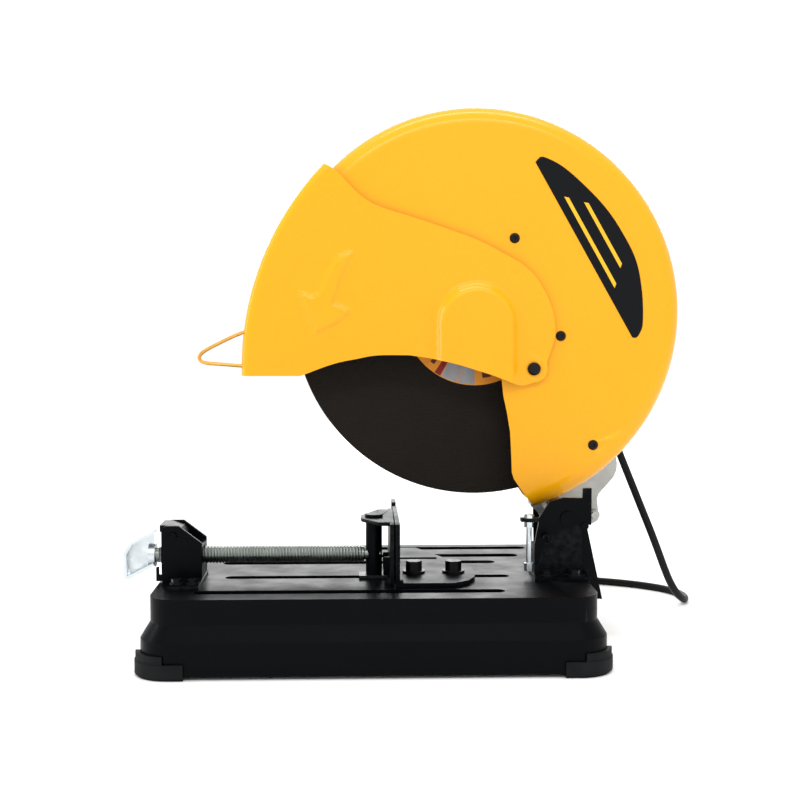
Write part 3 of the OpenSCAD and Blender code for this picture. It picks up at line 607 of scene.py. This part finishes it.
label = ring_sector("label_disc", 14, 70.5, 0, 360, 31.97, 32.4, paper_orange)
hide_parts("wheel_label")
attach(label, "spindle_body")
for i, (r0, r1, a0, a1, mt) in enumerate([(50, 69.8, 241.5, 256.2, paper_grey), (50, 69.8, 257, 270, paper_grey), (40, 69.9, 235.5, 241, paper_red), (38, 49.4, 241.5, 286, paper_red), (52, 64, 227, 231, paper_dark), (53, 64, 277, 285, paper_dark), (46, 60, 305, 330, paper_grey), (45, 61, 190, 214, paper_red), (44, 62, 20, 60, paper_grey), (44, 62, 70, 110, paper_dark), (44, 62, 125, 165, paper_grey)]):
    p_ = ring_sector(f"label_block_{i}", r0, r1, a0, a1, 31.9, 31.98, mt)
    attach(p_, "spindle_body")

# ---------------------------------------------------------------- lead screw
def lead_screw():
    x0_, x1_, pitch = -204.8, -9.3, 3.0
    per, sides = 7, 28
    n = int((x1_ - x0_) / pitch * per)
    verts, faces = [], []
    for i in range(n + 1):
        x_ = x0_ + (x1_ - x0_) * i / n
        run = smooth(np.array((x_ + 201.5) / 4.0)) * smooth(np.array((-10.5 - x_) / 4.0))
        for k in range(sides):
            a = 2 * math.pi * k / sides
            ph = ((x_ / pitch) - k / sides) % 1.0
            tri = 1 - abs(2 * ph - 1)
            r = 6.9 + 1.05 * float(run) * min(1.0, max(0.0, (tri - 0.18) / 0.5))
            verts.append((x_ * MM, (-36 + r * math.cos(a)) * MM, (91 + r * math.sin(a)) * MM))
    for i in range(n):
        for k in range(sides):
            k2 = (k + 1) % sides
            faces.append((i * sides + k, (i + 1) * sides + k, (i + 1) * sides + k2, i * sides + k2))
    faces.append(tuple(range(sides)))
    faces.append(tuple(n * sides + k for k in range(sides))[::-1])
    o = new_mesh("lead_screw_thread", verts, faces, screw_m)
    tip = tube("lead_screw_tip", np.array([[x_, -36, 91] for x_ in (-9.6, -8, -4, 0, 4, 4.8)]) * MM, np.array([5.45, 5.45, 5.45, 5.45, 5.45, 4.8]) * MM, screw_m, 24)
    return o, tip


ls, tip = lead_screw()
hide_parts("lead_screw")
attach(ls, "crank")
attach(tip, "crank")

# ---------------------------------------------------------------- torsion spring
PX, PZ = 181.0, 124.0
sp = [[PX - 12.6, -27.6, PZ - 26], [PX - 12.6, -27.5, PZ - 17], [PX - 12.6, -27.4, PZ - 8]]
for i in range(0, 121):
    a = math.radians(i * 18)
    sp.append([PX - 12.6 * math.cos(a), -27.2 + i * 0.19, PZ + 12.6 * math.sin(a)])
sp += [[PX - 12.6, -4.2, PZ + 6], [PX - 12.6, -4.1, PZ + 10]]
spring = tube("torsion_spring", np.array(catmull(sp, 2.0)) * MM, 0.00135, steel, 10)
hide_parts("return_spring")
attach(spring, "base")

# ---------------------------------------------------------------- finishes on the CAD nodes
def finish_cad(mat, bevel, *names, plain=False, angle=38):
    for n_ in names:
        o = N[n_]
        if not o.data.materials:
            o.data.materials.append(mat)
        for i in range(len(o.material_slots)):
            o.material_slots[i].material = mat
        if bevel:
            w = o.modifiers.new("weld", "WELD")
            w.merge_threshold = 0.00001
            b = o.modifiers.new("edge", "BEVEL")
            b.width, b.segments, b.limit_method, b.angle_limit = bevel * MM, 2, "ANGLE", math.radians(angle)
            b.use_clamp_overlap = True
            if not plain:
                wn = o.modifiers.new("normals", "WEIGHTED_NORMAL")
                wn.keep_sharp = False


finish_cad(black, 1.1, "base_plate", angle=20)
finish_cad(black, 0.9, "pivot_bracket", "fence", "vise_bracket", "jaw_plate")
finish_cad(black, 0.5, "spark_deflector", "jaw_post", "half_nut_lever")
finish_cad(yellow, 0.35, "fixed_guard")
finish_cad(rubber, 0.6, "rubber_feet", "cord_boot")
finish_cad(bolt_black, 0.4, "bracket_bolts", "fence_bolts", "vise_bracket_bolts", "guard_screws", "guard_pivot_screw")
finish_cad(black, 0.4, "pivot_pin", "deflector_pin", "lock_pin")
finish_cad(steel, 0.3, "pivot_pin_clips", "jaw_guide", "inner_flange", "outer_flange", "arbor_bolt")
finish_cad(zinc, 0.35, "depth_stop", "crank_handle", "cover_screws", "end_cap_screws", "handle_screws")
finish_cad(turned, 0, "spindle", "spindle_gear", "bearings", "armature_shaft")
finish_cad(alu, 1.2, "arm_casting")
finish_cad(alu, 0.3, "gear_case_cover", plain=True)
finish_cad(plast, 0.5, "motor_housing", "motor_end_cap", "brush_caps")
finish_cad(plast2, 1.6, "handle_upper", "handle_lower", "carry_handle")
finish_cad(plast, 0.8, "cord_plug", "fan")
finish_cad(plast, 0, "switch_module", "carbon_brushes")
finish_cad(red, 0.8, "trigger", "spindle_lock")
finish_cad(abrasive, 0.3, "abrasive_wheel")
finish_cad(copper, 0, "stator", "armature_core", "commutator")

# ---------------------------------------------------------------- floor and lights
floor = new_mesh("floor", [(-30, -30, 0), (30, -30, 0), (30, 30, 0), (-30, 30, 0)], [(0, 1, 2, 3)], None or bpy.data.materials.new("floor"))
fm = floor.data.materials[0]
fm.use_nodes = True
fb = fm.node_tree.nodes["Principled BSDF"]
fb.inputs["Base Color"].default_value = (0.97, 0.97, 0.97, 1)
fb.inputs["Roughness"].default_value = 0.9
fb.inputs["Specular IOR Level"].default_value = 0.1

world = bpy.data.worlds.new("studio")
scene.world = world
world.use_nodes = True
world.node_tree.nodes["Background"].inputs["Color"].default_value = (1, 1, 1, 1)
world.node_tree.nodes["Background"].inputs["Strength"].default_value = 1.06


def area(name, loc, target, size, power, size_y=None):
    l = bpy.data.lights.new(name, "AREA")
    l.shape = "RECTANGLE"
    l.size, l.size_y = size, size_y or size
    l.energy = power
    o = bpy.data.objects.new(name, l)
    scene.collection.objects.link(o)
    o.location = loc
    o.rotation_euler = (Vector(target) - Vector(loc)).to_track_quat("-Z", "Y").to_euler()
    return o


area("key_top", (0.0, -1.4, 1.5), (0.0, -0.13, 0.05), 1.5, 9, 0.3)
area("front_fill", (0.7, -2.0, 0.9), (0.1, 0, 0.3), 1.4, 2)
area("left_strip", (-1.7, -0.05, 0.55), (0, 0, 0.35), 0.16, 8, 1.5)
area("top_strip", (0.1, 0.0, 2.1), (0.1, 0, 0.3), 1.6, 11, 0.2)
area("rear_low", (0.1, 2.4, 0.95), (0.0, 0, 0.1), 2.6, 30, 0.8)
